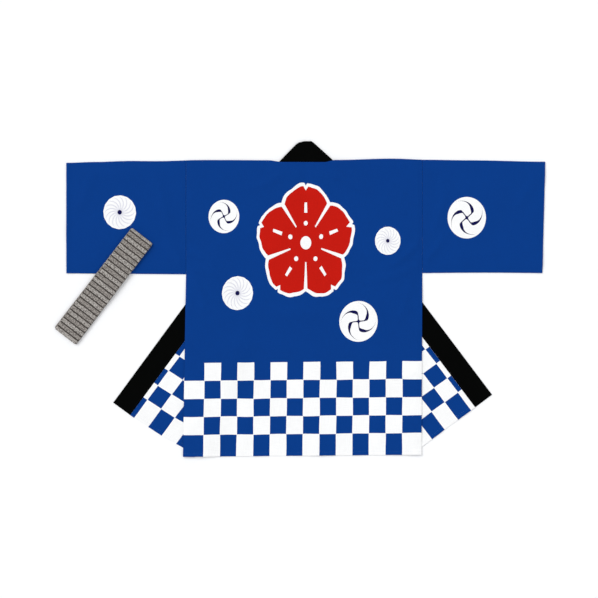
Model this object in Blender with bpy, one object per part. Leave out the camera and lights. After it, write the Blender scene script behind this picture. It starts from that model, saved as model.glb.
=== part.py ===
"""A festival happi coat with its folded belt, laid flat on its front, back upwards.

Both fronts are turned outwards under the coat along a slanting fold, so that their collar
bands show beside the body. The belt lies folded on one sleeve. Metres, +Z up. The coat is
drawn about its own centre line (x = 0) and shoulder line (y = 0, neck at +Y), then moved so
that the origin is the middle of its footprint, on the surface it lies on.
"""

import math
from collections import namedtuple

import bmesh
import bpy
import numpy as np

# ---- cloth ---------------------------------------------------------------------------
CLOTH_WALL = 0.0010
COLLAR_WALL = 0.0014  # the collar is the same width folded double
GAP = 0.0003  # between neighbouring pieces
CUT_MERGE = 0.00002  # points nearer than this are one point

# ---- body: half widths and lengths from the centre line and the shoulder line ---------
ShoulderRow = namedtuple("ShoulderRow", "x rise")
SHOULDER_LINE = (
    ShoulderRow(-0.6350, -0.0044),  # left cuff
    ShoulderRow(-0.5600, -0.0021),
    ShoulderRow(-0.4600, 0.0007),
    ShoulderRow(-0.3950, 0.0001),
    ShoulderRow(-0.2650, 0.0031),
    ShoulderRow(-0.0950, 0.0025),
    ShoulderRow(-0.0550, -0.0022),  # dips round the neck
    ShoulderRow(0.0550, -0.0025),
    ShoulderRow(0.0880, 0.0032),
    ShoulderRow(0.2350, 0.0068),
    ShoulderRow(0.3300, 0.0038),
    ShoulderRow(0.4500, 0.0024),
    ShoulderRow(0.6465, -0.0013),  # right cuff
)

# sign: -1 is the side at -X. The armhole's foot is the armpit.
Side = namedtuple("Side", "name sign armhole_x armpit_y hem_x hem_y")
LEFT = Side("left", -1, -0.3137, -0.3025, -0.3217, -0.7900)
RIGHT = Side("right", 1, 0.3180, -0.2993, 0.3156, -0.7845)

Sleeve = namedtuple("Sleeve", "cuff_top_x cuff_low_x cuff_low_y")
SLEEVES = {"left": Sleeve(-0.6337, -0.6335, -0.3000), "right": Sleeve(0.6465, 0.6388, -0.2993)}

# ---- fronts: the fold passes through (fold_x, fold_y) and leans fold_deg off the centre line
Front = namedtuple("Front", "fold_x fold_y fold_deg seam_x hem_at_fold hem_between hem_at_band")
FRONTS = {
    "left": Front(-0.0011, 0.0446, 18.15, -0.0573, -0.7908, -0.8060, -0.8118),
    "right": Front(0.0227, 0.0139, 18.50, 0.0784, -0.7844, -0.7842, -0.7855),
}
COLLAR_WIDTH = 0.0565
COLLAR_TOP = 0.0500  # where the bands' mitred tops end, under the neck stretch
FOLD_STEPS = 6  # facets round a fold

# ---- heights of the layers -------------------------------------------------------------
FOLD_HEIGHT = 2 * COLLAR_WALL + GAP  # a collar band folded flat on itself
FRONT_LIFT = FOLD_HEIGHT - CLOTH_WALL  # underside of a front where it lies on its own band
BACK_OVER_FRONT = CLOTH_WALL + GAP
SIDE_SAG = 0.045  # a front sinks to the surface within this distance of its band
CENTRE_SAG = 0.060  # the back sinks to the surface within this distance of the folds

# ---- collar at the neck: a stretch with both ends folded down slantwise -----------------
NECK_LIFT = FOLD_HEIGHT + GAP
NECK_SEAM_ENDS = (-0.0636, 0.0807)  # x at the shoulder line
NeckPoint = namedtuple("NeckPoint", "x y")
NECK_OUTLINE = (
    NeckPoint(0.0232, 0.0522),
    NeckPoint(0.0205, 0.0534),
    NeckPoint(0.0010, 0.0530),
    NeckPoint(-0.0120, 0.0498),
    NeckPoint(-0.0214, 0.0433),
)

# ---- belt: a woven ribbon laid in an even number of layers ------------------------------
BELT_TOP = (-0.4299, -0.1991)  # middle of its upper end
BELT_LENGTH = 0.3395
BELT_WIDTH = 0.0700
BELT_LEAN_DEG = 37.4  # off the centre line, foot outwards
BELT_WALL = 0.0010
BELT_CORNER = 0.0045
BELT_CORNER_STEPS = 4
BELT_TUCK = 0.0040  # how far the slots between the layers' edges go in
BELT_STEP_DOWN = (0.163, 0.223)  # distance along it where it comes down off the sleeve
BeltLayer = namedtuple("BeltLayer", "along across")
BELT_LAYERS = (
    BeltLayer(0.0000, 0.0000),
    BeltLayer(0.0010, 0.0012),
    BeltLayer(-0.0006, -0.0010),
    BeltLayer(0.0012, 0.0006),
    BeltLayer(-0.0010, 0.0014),
    BeltLayer(0.0000, 0.0000),
)

# ---- finishes: colour, roughness ---------------------------------------------------------
BLUE_COTTON = ("blue_cotton", (0.004, 0.047, 0.258), 0.85)
BLACK_COTTON = ("black_cotton", (0.004, 0.004, 0.004), 0.80)
GREY_WEBBING = ("grey_webbing", (0.330, 0.290, 0.255), 0.75)


# ---- plane geometry ----------------------------------------------------------------------
# A Line is straight and has a side: distance() is positive on the side its normal points to.
Line = namedtuple("Line", "point normal")


def distance(line, x, y):
    return (x - line.point[0]) * line.normal[0] + (y - line.point[1]) * line.normal[1]


def shifted(line, amount):
    px, py = line.point
    nx, ny = line.normal
    return Line((px + nx * amount, py + ny * amount), line.normal)


def midway(first, second):
    """The line on which both distances are equal."""
    nx = first.normal[0] - second.normal[0]
    ny = first.normal[1] - second.normal[1]
    level = np.dot(first.point, first.normal) - np.dot(second.point, second.normal)
    scale = level / (nx * nx + ny * ny)
    return Line((nx * scale, ny * scale), (nx, ny))


def shoulder(x):
    rows = SHOULDER_LINE
    return float(np.interp(x, [row.x for row in rows], [row.rise for row in rows]))


def fold_line(side):
    """A front's fold, its normal towards the centre of the coat."""
    front = FRONTS[side.name]
    lean = math.radians(front.fold_deg)
    normal = (-side.sign * math.cos(lean), -math.sin(lean))
    return Line((front.fold_x, front.fold_y), normal)


def free_edge_x(side):
    return FRONTS[side.name].seam_x - side.sign * COLLAR_WIDTH


def turned_band_edge(side):
    """The band's free edge after the fold turns it out, its normal away from the coat."""
    front = FRONTS[side.name]
    lean = math.radians(front.fold_deg)
    edge_x = free_edge_x(side)
    down = (front.fold_x - edge_x) * side.sign / math.tan(lean)
    crossing = (edge_x, front.fold_y + down)
    return Line(crossing, (side.sign * math.cos(2 * lean), math.sin(2 * lean)))


def seam_line(side):
    return Line((FRONTS[side.name].seam_x, 0.0), (side.sign, 0.0))


def carried(side, x, y):
    """1 where a front lies on folded collar, down to 0 where it lies on the surface."""
    outside = min(distance(turned_band_edge(side), x, y), distance(seam_line(side), x, y))
    return min(max(1 - outside / SIDE_SAG, 0.0), 1.0)


def front_height(side, x, y):
    return FRONT_LIFT * carried(side, x, y)


def back_height(x, y):
    """Underside of the back: on the fronts outside their folds, on the surface between them."""
    left_in = distance(fold_line(LEFT), x, y)
    right_in = distance(fold_line(RIGHT), x, y)
    if min(left_in, right_in) >= 0:
        sunk = min(left_in, right_in) / CENTRE_SAG
        return (FRONT_LIFT + BACK_OVER_FRONT) * max(1 - sunk, 0.0)
    side = LEFT if left_in < right_in else RIGHT
    return front_height(side, x, y) + BACK_OVER_FRONT


# ---- solids --------------------------------------------------------------------------------
def material(finish):
    name, colour, roughness = finish
    made = bpy.data.materials.get(name)
    if made is None:
        made = bpy.data.materials.new(name)
        made.use_nodes = True
        shader = made.node_tree.nodes["Principled BSDF"]
        shader.inputs["Base Color"].default_value = (*colour, 1.0)
        shader.inputs["Roughness"].default_value = roughness
        shader.inputs["Metallic"].default_value = 0.0
        made.diffuse_color = (*colour, 1.0)
    return made


def add_object(name, solid, finish):
    """Turns a bmesh into the named object."""
    bmesh.ops.triangulate(solid, faces=solid.faces[:])
    mesh = bpy.data.meshes.new(name)
    solid.to_mesh(mesh)
    solid.free()
    made = bpy.data.objects.new(name, mesh)
    made.data.materials.append(material(finish))
    bpy.context.scene.collection.objects.link(made)
    return made


def flat_pattern(outline, cuts):
    """The outline as a flat sheet facing up, divided along the cuts."""
    sheet = bmesh.new()
    sheet.faces.new([sheet.verts.new((x, y, 0.0)) for x, y in outline])
    for face in sheet.faces:
        face.normal_update()
        if face.normal.z < 0:
            face.normal_flip()
    for cut in cuts:
        bmesh.ops.bisect_plane(
            sheet,
            geom=sheet.verts[:] + sheet.edges[:] + sheet.faces[:],
            dist=CUT_MERGE,
            plane_co=(*cut.point, 0.0),
            plane_no=(*cut.normal, 0.0),
        )
    bmesh.ops.remove_doubles(sheet, verts=sheet.verts[:], dist=CUT_MERGE)
    return sheet


def walled(sheet, under, over):
    """A closed wall on a flat sheet. under and over place each of its points, by x and y."""
    solid = bmesh.new()
    low = {v: solid.verts.new(under(v.co.x, v.co.y)) for v in sheet.verts}
    high = {v: solid.verts.new(over(v.co.x, v.co.y)) for v in sheet.verts}
    for face in sheet.faces:
        solid.faces.new([high[v] for v in face.verts])
        solid.faces.new([low[v] for v in reversed(face.verts)])
    for edge in sheet.edges:
        if edge.is_boundary:
            loop = edge.link_loops[0]
            start, end = loop.vert, loop.link_loop_next.vert
            solid.faces.new((low[start], low[end], high[end], high[start]))
    sheet.free()
    return solid


def draped(outline, cuts, height, wall):
    """A panel of one thickness whose underside follows height(x, y)."""
    return walled(
        flat_pattern(outline, cuts),
        under=lambda x, y: (x, y, height(x, y)),
        over=lambda x, y: (x, y, height(x, y) + wall),
    )


def folded(side, outline, cuts, height, wall):
    """A panel turned under itself along its side's fold, round a fold of half a turn."""
    fold = fold_line(side)
    reach = math.pi / 2 * (FOLD_HEIGHT - CLOTH_WALL) / 2
    middle = FOLD_HEIGHT / 2

    def placed(x, y, radius):
        past = distance(fold, x, y)
        if past <= -reach:
            return (x, y, height(x, y) + radius - middle + wall)
        turn = min((past + reach) / (2 * reach), 1.0) * math.pi
        across = -past if past > reach else radius * math.sin(turn) - reach
        move = across - past
        rise = middle + radius * math.cos(turn)
        return (x + fold.normal[0] * move, y + fold.normal[1] * move, rise)

    steps = [shifted(fold, reach * (2 * k / FOLD_STEPS - 1)) for k in range(FOLD_STEPS + 1)]
    return walled(
        flat_pattern(outline, steps + cuts),
        under=lambda x, y: placed(x, y, middle - wall),
        over=lambda x, y: placed(x, y, middle),
    )


def tube(sections):
    """A wall between an outer and an inner ring, lofted from the first section to the last."""
    solid = bmesh.new()
    rings = [[[solid.verts.new(p) for p in ring] for ring in section] for section in sections]
    count = len(rings[0][0])
    for here, there in zip(rings, rings[1:]):
        for k in range(count):
            after = (k + 1) % count
            solid.faces.new((here[0][k], here[0][after], there[0][after], there[0][k]))
            solid.faces.new((here[1][after], here[1][k], there[1][k], there[1][after]))
    for (outer, inner), first in ((rings[0], True), (rings[-1], False)):
        for k in range(count):
            after = (k + 1) % count
            rim = (outer[k], inner[k], inner[after], outer[after])
            solid.faces.new(rim if first else rim[::-1])
    bmesh.ops.recalc_face_normals(solid, faces=solid.faces[:])
    return solid


def flattened_ring(low_y, top_y, radius, middle, steps=5):
    """Points (y, z) round a flattened tube: two straight runs and two half turns."""
    points = []
    for end_y, start in ((top_y - radius, -math.pi / 2), (low_y + radius, math.pi / 2)):
        for k in range(steps + 1):
            turn = start + math.pi * k / steps
            points.append((end_y + radius * math.cos(turn), middle + radius * math.sin(turn)))
    return points


# ---- the pieces ------------------------------------------------------------------------------
def side_cuts(side):
    """Where the height of the cloth over one side changes its slope."""
    band = turned_band_edge(side)
    seam = seam_line(side)
    return [band, seam, shifted(band, SIDE_SAG), shifted(seam, SIDE_SAG), midway(band, seam)]


def shoulder_run(start_x, end_x):
    """Points along the shoulder line, its ends included."""
    inner = [row.x for row in SHOULDER_LINE if min(start_x, end_x) < row.x < max(start_x, end_x)]
    run = [start_x] + sorted(inner, reverse=start_x > end_x) + [end_x]
    return [(x, shoulder(x)) for x in run]


def make_back():
    outline = shoulder_run(LEFT.armhole_x, RIGHT.armhole_x)
    outline += [(RIGHT.armhole_x, RIGHT.armpit_y), (RIGHT.hem_x, RIGHT.hem_y)]
    outline += [(LEFT.hem_x, LEFT.hem_y), (LEFT.armhole_x, LEFT.armpit_y)]
    folds = [fold_line(LEFT), fold_line(RIGHT)]
    cuts = side_cuts(LEFT) + side_cuts(RIGHT) + folds + [midway(*folds)]
    cuts += [shifted(fold, CENTRE_SAG) for fold in folds]
    add_object("back", draped(outline, cuts, back_height, CLOTH_WALL), BLUE_COTTON)


def make_front(side):
    front = FRONTS[side.name]
    lean = math.radians(front.fold_deg)
    fold_foot_x = front.fold_x + side.sign * (front.fold_y - front.hem_at_fold) * math.tan(lean)
    outline = shoulder_run(front.seam_x, side.armhole_x)
    outline += [(side.armhole_x, side.armpit_y), (side.hem_x, side.hem_y)]
    outline += [(fold_foot_x, front.hem_at_fold)]
    outline += [((fold_foot_x + front.seam_x) / 2, front.hem_between)]
    outline += [(front.seam_x, front.hem_at_band)]
    panel = folded(
        side, outline, side_cuts(side), lambda x, y: front_height(side, x, y), CLOTH_WALL
    )
    add_object("front_" + side.name, panel, BLUE_COTTON)


def make_collar_band(side):
    front = FRONTS[side.name]
    sewn_x = front.seam_x - side.sign * GAP
    free_x = free_edge_x(side)
    outline = [
        (sewn_x, front.hem_at_band),
        (free_x, front.hem_at_band),
        (free_x, COLLAR_TOP),
        (sewn_x - side.sign * COLLAR_TOP, COLLAR_TOP),
        (sewn_x, 0.0),
    ]
    upper = FOLD_HEIGHT - COLLAR_WALL
    strip = folded(side, outline, [], lambda x, y: upper, COLLAR_WALL)
    add_object("collar_" + side.name, strip, BLACK_COTTON)


def make_collar_neck():
    outline = [(x, y + GAP) for x, y in shoulder_run(*NECK_SEAM_ENDS)]
    outline += [(point.x, point.y) for point in NECK_OUTLINE]
    stretch = draped(outline, [], lambda x, y: NECK_LIFT, COLLAR_WALL)
    add_object("collar_neck", stretch, BLACK_COTTON)


def make_sleeve(side):
    sleeve = SLEEVES[side.name]
    sewn_x = side.armhole_x + side.sign * GAP
    middle = CLOTH_WALL + GAP / 2
    tops = shoulder_run(sleeve.cuff_top_x, sewn_x)
    sections = []
    for top_x, top_y in tops:
        share = (top_x - sleeve.cuff_top_x) / (sewn_x - sleeve.cuff_top_x)
        low_x = sleeve.cuff_low_x + share * (sewn_x - sleeve.cuff_low_x)
        low_y = sleeve.cuff_low_y + share * (side.armpit_y - sleeve.cuff_low_y)
        rings = []
        for radius, inset in ((middle, 0.0), (GAP / 2, CLOTH_WALL)):
            ring = flattened_ring(low_y + inset, top_y - inset, radius, middle)
            slope = (top_x - low_x) / (top_y - low_y)
            rings.append([(low_x + slope * (y - low_y), y, z) for y, z in ring])
        sections.append(rings)
    add_object("sleeve_" + side.name, tube(sections), BLUE_COTTON)


def belt_outline(inset):
    """Points (along, across) round the belt: straight sides that bend twice, round corners."""
    half = BELT_WIDTH / 2 - inset
    radius = BELT_CORNER
    top, foot = inset + radius, BELT_LENGTH - inset - radius
    points = [(along, half) for along in BELT_STEP_DOWN]
    for end, side, start in ((foot, 1, 90), (foot, -1, 0), (top, -1, -90), (top, 1, -180)):
        if (end, side) == (top, -1):
            points += [(along, -half) for along in reversed(BELT_STEP_DOWN)]
        for k in range(BELT_CORNER_STEPS + 1):
            turn = math.radians(start - 90 * k / BELT_CORNER_STEPS)
            across = side * (half - radius) + radius * math.sin(turn)
            points.append((end + radius * math.cos(turn), across))
    return points


def belt_height(along):
    """Underside of the belt: on the sleeve, then down to the surface."""
    on_sleeve = 2 * CLOTH_WALL + 2 * GAP
    return float(np.interp(along, BELT_STEP_DOWN, (on_sleeve, 0.0)))


def make_belt():
    """The stack as one solid, its layers parted along the edges by narrow slots."""
    lean = math.radians(BELT_LEAN_DEG)
    down = (-math.sin(lean), -math.cos(lean))
    sideways = (math.cos(lean), -math.sin(lean))
    solid = bmesh.new()

    def ring(inset, layer, level):
        verts = []
        for along, across in belt_outline(inset):
            x = BELT_TOP[0] + down[0] * (along + layer.along) + sideways[0] * (across + layer.across)
            y = BELT_TOP[1] + down[1] * (along + layer.along) + sideways[1] * (across + layer.across)
            verts.append(solid.verts.new((x, y, belt_height(along) + level)))
        return verts

    still = BeltLayer(0.0, 0.0)
    rings = []
    for number, layer in enumerate(BELT_LAYERS):
        base = number * (BELT_WALL + GAP)
        if number:
            rings.append(ring(BELT_TUCK, still, base - GAP))
            rings.append(ring(BELT_TUCK, still, base))
        rings.append(ring(0.0, layer, base))
        rings.append(ring(0.0, layer, base + BELT_WALL))
    for here, there in zip(rings, rings[1:]):
        for k, start in enumerate(here):
            after = (k + 1) % len(here)
            solid.faces.new((start, here[after], there[after], there[k]))
    for level in (rings[0], rings[-1]):
        cap_rows(solid, level)
    bmesh.ops.recalc_face_normals(solid, faces=solid.faces[:])
    add_object("belt", solid, GREY_WEBBING)


def cap_rows(solid, ring):
    """Closes a belt ring with strips across it, so that each bends where the belt does."""
    count = len(ring)
    left = len(BELT_STEP_DOWN) + BELT_CORNER_STEPS
    right = left + 1
    for _ in range(count // 2 - 1):
        before, after = (left - 1) % count, (right + 1) % count
        solid.faces.new((ring[left], ring[right], ring[after], ring[before]))
        left, right = before, after


def centre_on_origin():
    """Moves every mesh so that the footprint's middle is at the origin."""
    objects = bpy.context.scene.collection.objects
    corners = np.array([v.co for made in objects for v in made.data.vertices])
    middle = (corners.min(axis=0) + corners.max(axis=0)) / 2
    for made in objects:
        for vertex in made.data.vertices:
            vertex.co.x -= middle[0]
            vertex.co.y -= middle[1]


def main():
    for old in list(bpy.data.objects):
        bpy.data.objects.remove(old, do_unlink=True)
    make_back()
    for side in (LEFT, RIGHT):
        make_front(side)
        make_collar_band(side)
        make_sleeve(side)
    make_collar_neck()
    make_belt()
    centre_on_origin()


main()
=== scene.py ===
"""A festival happi coat laid flat on its front, back upwards, with its belt folded on a sleeve.

The coat is cut, folded and laid as its model is, in metres: each panel is a flat pattern with
x across the coat and y down from the shoulder line, then placed as cloth with two sides. The
print is dyed into the cotton by each panel's own pattern map, so it follows every fold.
"""

import math
from collections import namedtuple

import bmesh
import bpy
import numpy as np
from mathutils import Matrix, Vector


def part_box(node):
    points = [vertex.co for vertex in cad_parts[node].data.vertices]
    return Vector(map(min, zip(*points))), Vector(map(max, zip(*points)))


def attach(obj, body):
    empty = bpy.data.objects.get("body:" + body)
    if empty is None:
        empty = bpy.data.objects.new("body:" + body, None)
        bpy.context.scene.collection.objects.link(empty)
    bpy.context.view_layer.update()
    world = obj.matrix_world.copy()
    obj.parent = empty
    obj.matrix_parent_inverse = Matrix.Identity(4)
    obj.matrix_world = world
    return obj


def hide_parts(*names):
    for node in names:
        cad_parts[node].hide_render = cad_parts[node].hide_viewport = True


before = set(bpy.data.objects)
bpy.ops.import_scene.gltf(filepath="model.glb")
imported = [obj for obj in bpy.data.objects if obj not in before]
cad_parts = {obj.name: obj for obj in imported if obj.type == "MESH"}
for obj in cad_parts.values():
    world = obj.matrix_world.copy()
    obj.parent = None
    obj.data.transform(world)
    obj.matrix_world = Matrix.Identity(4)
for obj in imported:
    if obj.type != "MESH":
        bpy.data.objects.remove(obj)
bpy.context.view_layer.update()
MM = 0.001

# ======================================================================================
# The coat's lines
# ======================================================================================
CLOTH_WALL = 1.0 * MM
COLLAR_WALL = 1.4 * MM
GAP = 0.3 * MM

SHOULDER_LINE = (  # x, rise
    (-0.6350, -0.0044),
    (-0.5600, -0.0021),
    (-0.4600, 0.0007),
    (-0.3950, 0.0001),
    (-0.2650, 0.0031),
    (-0.0950, 0.0025),
    (-0.0550, -0.0022),  # dips round the neck
    (0.0550, -0.0025),
    (0.0880, 0.0032),
    (0.2350, 0.0068),
    (0.3300, 0.0038),
    (0.4500, 0.0024),
    (0.6465, -0.0013),
)

# fold: where a front turns under itself, and its lean; seam: where the collar band is sewn on;
# front_hem: heights at the foot of the fold, half way to the collar and at the collar
Side = namedtuple(
    "Side",
    "name sign armhole_x armpit_y hem_x hem_y cuff_top_x cuff_low_x cuff_low_y "
    "fold_x fold_y fold_deg seam_x front_hem",
)
LEFT = Side(
    name="left",
    sign=-1,
    armhole_x=-0.3137,
    armpit_y=-0.3025,
    hem_x=-0.3217,
    hem_y=-0.7900,
    cuff_top_x=-0.6337,
    cuff_low_x=-0.6335,
    cuff_low_y=-0.3000,
    fold_x=-0.0011,
    fold_y=0.0446,
    fold_deg=18.15,
    seam_x=-0.0573,
    front_hem=(-0.7908, -0.8060, -0.8118),
)
RIGHT = Side(
    name="right",
    sign=1,
    armhole_x=0.3180,
    armpit_y=-0.2993,
    hem_x=0.3156,
    hem_y=-0.7845,
    cuff_top_x=0.6465,
    cuff_low_x=0.6388,
    cuff_low_y=-0.2993,
    fold_x=0.0227,
    fold_y=0.0139,
    fold_deg=18.50,
    seam_x=0.0784,
    front_hem=(-0.7844, -0.7842, -0.7855),
)
SLEEVE_DEPTH = 0.2955
COLLAR_WIDTH = 0.0565
PANEL_LENGTH = 0.79  # a body panel, from its hem to the shoulder

FOLD_HEIGHT = 2 * COLLAR_WALL + GAP
FOLD_AXIS = FOLD_HEIGHT / 2
FRONT_LIFT = FOLD_HEIGHT - CLOTH_WALL
BACK_OVER_FRONT = CLOTH_WALL + GAP
SIDE_SAG = 0.045  # a front comes down from the folded collar over this distance
CENTRE_SAG = 0.060  # and the back comes down between the fronts over this one
NECK_LIFT = FOLD_HEIGHT + GAP
BODY_WIDTH = 0.6363  # the print's own width, from side seam to side seam

back_low, back_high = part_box("back")
ORIGIN = Vector((back_low[0] - LEFT.hem_x, back_low[1] - LEFT.hem_y, 0.0))

Line = namedtuple("Line", "point normal")


def distance(line, x, y):
    return (x - line.point[0]) * line.normal[0] + (y - line.point[1]) * line.normal[1]


def shifted(line, amount):
    (px, py), (nx, ny) = line
    return Line((px + nx * amount, py + ny * amount), line.normal)


def ease(t):
    t = np.clip(t, 0.0, 1.0)
    return t * t * (3 - 2 * t)


def eased_rows(x, rows):
    """Height of a soft curve through (x, height) rows."""
    xs, ys = np.array(rows).T
    x = np.clip(x, xs[0], xs[-1])
    k = np.clip(np.searchsorted(xs, x) - 1, 0, len(xs) - 2)
    return ys[k] + (ys[k + 1] - ys[k]) * ease((x - xs[k]) / (xs[k + 1] - xs[k]))


def shoulder(x):
    return eased_rows(x, SHOULDER_LINE)


def side_edge_x(side, y):
    """The armhole down to the armpit, then the side seam, which flares to the hem."""
    down = np.clip((side.armpit_y - y) / (side.armpit_y - side.hem_y), 0.0, None)
    return side.armhole_x + (side.hem_x - side.armhole_x) * down


def back_hem_y(x):
    share = (x - LEFT.hem_x) / (RIGHT.hem_x - LEFT.hem_x)
    return LEFT.hem_y + (RIGHT.hem_y - LEFT.hem_y) * share


def fold_line(side):
    """A front's fold, its normal towards the centre of the coat."""
    lean = math.radians(side.fold_deg)
    return Line((side.fold_x, side.fold_y), (-side.sign * math.cos(lean), -math.sin(lean)))


def free_edge_x(side):
    return side.seam_x - side.sign * COLLAR_WIDTH


def turned_band_edge(side):
    """Where the turned collar band's free edge comes to lie, its normal outwards."""
    lean = math.radians(side.fold_deg)
    edge_x = free_edge_x(side)
    down = (side.fold_x - edge_x) * side.sign / math.tan(lean)
    crossing = (edge_x, side.fold_y + down)
    return Line(crossing, (side.sign * math.cos(2 * lean), math.sin(2 * lean)))


def seam_line(side):
    return Line((side.seam_x, 0.0), (side.sign, 0.0))


def fold_foot_x(side):
    lean = math.tan(math.radians(side.fold_deg))
    return side.fold_x + side.sign * (side.fold_y - side.front_hem[0]) * lean


def front_hem_y(side, x):
    """The front's cut hem: straight to the fold's foot, then on to the collar."""
    foot, band = fold_foot_x(side), side.seam_x
    start, between, end = side.front_hem
    rows = sorted([(side.hem_x, side.hem_y), (foot, start), ((foot + band) / 2, between), (band, end)])
    xs, ys = np.array(rows).T
    return np.interp(x, xs, ys)


# ======================================================================================
# How the layers lie
# ======================================================================================
SEAM_SETTLE = 0.014  # reach over which the body's relief dies out at its sides
SLEEVE_SETTLE = 0.020  # the same for a sleeve's cuff and armhole
TURN_SETTLE = 0.030  # and for its top fold and underarm
SWELL_HEIGHT = 0.75 * MM
PUCKER_HEIGHT, PUCKER_REACH = 0.42 * MM, 9 * MM
LIFT_HEIGHT, LIFT_REACH = 0.9 * MM, 13 * MM
ARMHOLE_SEED = 0.7  # one seed for body and sleeve, so that the gathers meet at the seam
Crease = namedtuple("Crease", "x y heading reach width height")
BODY_CREASES = (
    Crease(-0.262, -0.262, 142, 0.055, 0.0100, 2.7 * MM),  # gathers at the left armpit
    Crease(-0.236, -0.300, 160, 0.070, 0.0120, 2.0 * MM),
    Crease(-0.275, -0.350, 108, 0.060, 0.0110, 1.8 * MM),
    Crease(0.272, -0.252, 40, 0.060, 0.0110, 2.6 * MM),  # gathers at the right armpit
    Crease(0.240, -0.305, 18, 0.080, 0.0130, 1.9 * MM),
    Crease(0.276, -0.370, 74, 0.065, 0.0120, 1.6 * MM),
    Crease(-0.105, -0.060, 24, 0.055, 0.0110, 1.9 * MM),  # pulls beside the neck
    Crease(0.128, -0.055, 156, 0.060, 0.0120, 2.0 * MM),
    Crease(-0.020, -0.098, 8, 0.080, 0.0150, 1.3 * MM),
    Crease(0.020, -0.405, 4, 0.200, 0.0200, 1.7 * MM),  # soft cross creases at the waist
    Crease(-0.060, -0.500, 171, 0.150, 0.0220, 1.5 * MM),
    Crease(0.110, -0.605, 12, 0.140, 0.0220, 1.1 * MM),
    Crease(0.200, -0.700, 96, 0.080, 0.0160, 1.6 * MM),  # soft flutes above the hem
    Crease(-0.155, -0.720, 84, 0.070, 0.0150, 1.7 * MM),
    Crease(0.040, -0.730, 92, 0.060, 0.0160, 1.4 * MM),
    Crease(-0.270, -0.660, 66, 0.090, 0.0150, 1.3 * MM),
)
SLEEVE_CREASES = (
    Crease(-0.372, -0.120, 100, 0.080, 0.0150, 1.9 * MM),
    Crease(-0.345, -0.245, 130, 0.050, 0.0110, 2.3 * MM),
    Crease(-0.580, -0.085, 70, 0.055, 0.0150, 1.5 * MM),
    Crease(-0.520, -0.035, 172, 0.080, 0.0140, 1.2 * MM),
    Crease(0.372, -0.110, 82, 0.085, 0.0150, 1.9 * MM),
    Crease(0.350, -0.240, 50, 0.050, 0.0110, 2.4 * MM),
    Crease(0.545, -0.215, 112, 0.070, 0.0160, 1.6 * MM),
    Crease(0.595, -0.090, 60, 0.050, 0.0140, 1.5 * MM),
    Crease(0.470, -0.250, 8, 0.090, 0.0150, 1.3 * MM),
)


def creased(x, y, creases):
    """Soft ridges, each highest at its middle and running out along its heading."""
    height = np.zeros_like(x)
    for crease in creases:
        turn = math.radians(crease.heading)
        along = (x - crease.x) * math.cos(turn) + (y - crease.y) * math.sin(turn)
        bow = 0.12 * crease.reach * (along / crease.reach) ** 2
        across = (y - crease.y) * math.cos(turn) - (x - crease.x) * math.sin(turn) - bow
        ridge = np.exp(-((across / crease.width) ** 2)) * np.exp(-((along / crease.reach) ** 4))
        height = height + crease.height * ridge
    return height


def swell(x, y):
    """The slow unevenness of cloth smoothed out by hand, up to a millimetre and a half."""
    waves = np.sin(31 * x + 9 * y + 0.6) * np.sin(23 * y - 6 * x + 1.1)
    waves = waves + 0.6 * np.sin(57 * x - 18 * y + 2.0) * np.sin(44 * y + 13 * x)
    return SWELL_HEIGHT * (waves + 1.6) / 1.6


def puckers(off_seam, along, seed):
    """Small uneven gathers that run out of a line of sewing."""
    wave = np.sin(along / (3.4 * MM) + 2.0 * np.sin(along / (23 * MM) + seed))
    strong = 0.55 + 0.45 * np.sin(along / (37 * MM) + 2 * seed)
    fade = np.exp(-np.clip(off_seam, 0, None) / PUCKER_REACH)
    return PUCKER_HEIGHT * np.clip(wave + 0.2, 0.0, None) * strong * fade


def edge_lift(off_edge, along, seed):
    """Free edges rise a little here and there."""
    wave = np.sin(19 * along + seed) + 0.7 * np.sin(43 * along + 2.1 * seed) + 0.1
    fade = np.exp(-np.clip(off_edge, 0, None) / LIFT_REACH)
    return LIFT_HEIGHT * np.clip(wave, 0.0, None) * fade


def carried(side, x, y):
    """1 where a front lies on folded collar, down to 0 where it lies on the surface."""
    outside = np.minimum(distance(turned_band_edge(side), x, y), distance(seam_line(side), x, y))
    return ease(1 - outside / SIDE_SAG)


def off_body_sides(x, y):
    return np.minimum(x - side_edge_x(LEFT, y), side_edge_x(RIGHT, y) - x)


def body_relief(x, y):
    """Creases and swell, gone at the sides, where the sleeves are sewn on."""
    return (creased(x, y, BODY_CREASES) + swell(x, y)) * ease(off_body_sides(x, y) / SEAM_SETTLE)


def front_height(side, x, y):
    lifted = edge_lift(y - front_hem_y(side, x), x, 0.4) * 0.5
    return FRONT_LIFT * carried(side, x, y) + 0.5 * body_relief(x, y) + lifted


def back_height(x, y):
    """Underside of the back: on the fronts outside their folds, on the surface between them."""
    left_in = distance(fold_line(LEFT), x, y)
    right_in = distance(fold_line(RIGHT), x, y)
    inside = np.minimum(left_in, right_in)
    hollow = (FRONT_LIFT + BACK_OVER_FRONT) * ease(1 - inside / CENTRE_SAG)
    on_left = FRONT_LIFT * carried(LEFT, x, y)
    on_right = FRONT_LIFT * carried(RIGHT, x, y)
    on_front = np.where(left_in < right_in, on_left, on_right) + BACK_OVER_FRONT
    base = np.where(inside >= 0, hollow, on_front)
    return base + body_relief(x, y) + edge_lift(y - back_hem_y(x), x, 0.4)


# ======================================================================================
# Cloth: a flat pattern, placed as a wall with two sides
# ======================================================================================
EDGE_ROWS = np.array([0.0, 0.35, 0.9, 2.0, 4.0, 7.0, 8.6, 9.4, 10.2, 11.8]) * MM
STEP = 4.6 * MM


def levels(length, step=STEP, near=EDGE_ROWS):
    """Shares of a length: rows close together at both ends, even ones between."""
    inner = np.linspace(near[-1], length - near[-1], round((length - 2 * near[-1]) / step) + 1)
    return np.concatenate([near, inner[1:-1], (length - near)[::-1]]) / length


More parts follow.
